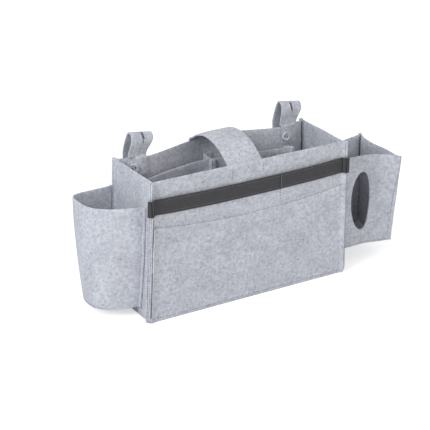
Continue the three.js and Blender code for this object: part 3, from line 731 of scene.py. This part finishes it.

# %% [markdown]
# ## The thread's finish
# Sewing thread is twisted, so its colour changes along it. Each stitch could be modelled as two turned strands,
# but a stitch is only a few pixels long, and a fine noise does the same. The felt's thread is clearly deeper than
# the felt. The thread at the ribbon's ends is nearly black. The same nearly black thread in the corners, the
# slits and the button slots is painted shade, laid partly on real seams and real button thread. The pale thread
# on the ribbon is a mid grey.
# %% Make the thread materials
THREADS = (
    ("felt thread", (0.11, 0.12, 0.15, 1), (0.19, 0.20, 0.24, 1), [felt_thread_piece]),
    # Nearly black: real thread at the ribbon's ends, painted shade in the corners, the slits and the button
    # slots.
    ("dark thread and painted shade", (0.008, 0.008, 0.01, 1), (0.02, 0.02, 0.024, 1),
     [ribbon_end_thread] + shade_thread_pieces + button_threads_and_shade),
    ("pale thread", (0.18, 0.185, 0.20, 1), (0.32, 0.325, 0.345, 1), [ribbon_seam_thread]),
)
TWIST_SCALE, TWIST_RAMP = 900.0, (0.35, 0.65)

for name, deep, pale, pieces in THREADS:
    thread_and_shade, tree, shader = new_material(name)
    twist = noise_of(tree, object_place(tree), TWIST_SCALE, detail=2.0)
    set_shader(tree, shader, {"Base Color": colour_mix(tree, ramp_of(tree, twist, *TWIST_RAMP), deep, pale),
                              "Roughness": 0.8, "Specular IOR Level": 0.2})
    bump(tree, shader, twist, strength=0.4, distance=0.1 * MM)
    for piece in pieces:
        piece.data.materials.append(thread_and_shade)
    print(name, "on", len(pieces), "pieces")

# %% [markdown]
# ## The buttons' finish
# The buttons are moulded from a satin plastic in a colour close to the felt's. A plain colour would do for
# plastic, but it looks drawn beside the mottled felt, so a faint mottling and a slight bump go over it.
# %% Make the button material
BUTTON_DEEP = (0.46, 0.47, 0.51, 1)
BUTTON_PALE = (0.59, 0.60, 0.64, 1)
MOTTLE_SCALE, MOTTLE_RAMP = 240.0, (0.3, 0.7)

button_plastic, tree, shader = new_material("button plastic")
mottle = noise_of(tree, object_place(tree), MOTTLE_SCALE, detail=3.0)
button_colour = colour_mix(tree, ramp_of(tree, mottle, *MOTTLE_RAMP), BUTTON_DEEP, BUTTON_PALE)
set_shader(tree, shader, {"Base Color": button_colour, "Roughness": 0.42})
bump(tree, shader, mottle, strength=0.15, distance=0.1 * MM)
for button in buttons:
    button.data.materials.append(button_plastic)
print("button plastic on", len(buttons), "buttons")

# %% [markdown]
# ## The floor
# The caddy stands on a white floor that keeps its soft shadow. More light could make the floor white, but it
# would bleach the felt too. So only the camera sees a little glow on the floor, which carries it to white in the
# open and leaves the shadow; the glow lights nothing. The floor is attached to no body, so it is no part of the
# caddy.
# %% The floor
FLOOR_SIZE = 6.0
FLOOR_COLOUR = (0.77, 0.77, 0.775, 1)
FLOOR_GLOW = 0.5
WHITE = (1, 1, 1, 1)

bm = bmesh.new()
bmesh.ops.create_grid(bm, x_segments=2, y_segments=2, size=FLOOR_SIZE / 2)
floor_mesh = bpy.data.meshes.new("floor")
bm.to_mesh(floor_mesh)
bm.free()
floor = bpy.data.objects.new("floor", floor_mesh)
bpy.context.scene.collection.objects.link(floor)
floor_white, tree, shader = new_material("studio floor")
floor_path = new_node(tree, "ShaderNodeLightPath")
glow = maths(tree, "MULTIPLY", floor_path.outputs["Is Camera Ray"], FLOOR_GLOW)
set_shader(tree, shader, {"Base Color": FLOOR_COLOUR, "Roughness": 1.0, "Specular IOR Level": 0.0,
                          "Emission Color": WHITE, "Emission Strength": glow})
floor.data.materials.append(floor_white)
print("floor:", FLOOR_SIZE, "m across")

# %% [markdown]
# ## The lamps
# A sun or a point lamp would draw hard shadows, which a shop picture avoids. So a broad round lamp high on the
# left gives the light its direction, and a weaker one fills from the front. Each is turned like the camera, with
# its minus Z towards the caddy.
# %% The lamps
LAMPS = (
    ("key lamp", (-2.4, -0.8, 1.8), 1.2, 45.0, (0.92, 0.965, 1.0)),
    ("fill lamp", (0.2, -2.4, 1.2), 1.4, 11.5, (1.0, 0.97, 0.92)),
)
AIM = Vector((0, 0, 0.09))

for name, spot, size, power, colour in LAMPS:
    lamp = bpy.data.objects.new(name, bpy.data.lights.new(name, "AREA"))
    lamp.data.shape = "DISK"
    lamp.data.size = size
    lamp.data.energy = power
    lamp.data.color = colour
    lamp.location = spot
    lamp.rotation_mode = "QUATERNION"
    lamp.rotation_quaternion = (AIM - Vector(spot)).to_track_quat("-Z", "Y")
    bpy.context.scene.collection.objects.link(lamp)
    print(name, "of", power, "watts, from", spot)

# %% [markdown]
# ## The world
# A white room would light the caddy from everywhere. It could be built of walls, but the world does the same
# evenly and cannot get into the picture. It gives a light grey with a cool tint to all rays that carry light,
# while camera, glossy and transmission rays see plain white behind the floor.
# %% The world
WORLD_LIGHT = 0.71
WORLD_TINT = (0.97, 0.98, 1.0, 1)

world = bpy.data.worlds.new("studio")
bpy.context.scene.world = world
world.use_nodes = True
tree = world.node_tree
tree.nodes.clear()
rays = new_node(tree, "ShaderNodeLightPath").outputs
mirrored = maths(tree, "MAXIMUM", rays["Is Glossy Ray"], rays["Is Transmission Ray"])
seen = maths(tree, "MAXIMUM", rays["Is Camera Ray"], mirrored)
lighting = new_node(tree, "ShaderNodeBackground")
backdrop = new_node(tree, "ShaderNodeBackground")
both = new_node(tree, "ShaderNodeMixShader")
world_out = new_node(tree, "ShaderNodeOutputWorld")
for socket, value in ((lighting.inputs["Color"], WORLD_TINT), (lighting.inputs["Strength"], WORLD_LIGHT),
                      (backdrop.inputs["Color"], WHITE), (both.inputs["Fac"], seen),
                      (both.inputs[1], lighting.outputs["Background"]),
                      (both.inputs[2], backdrop.outputs["Background"]),
                      (world_out.inputs["Surface"], both.outputs["Shader"])):
    feed(tree, socket, value)
bpy.context.scene.view_settings.view_transform = "Standard"
print("world strength:", WORLD_LIGHT)
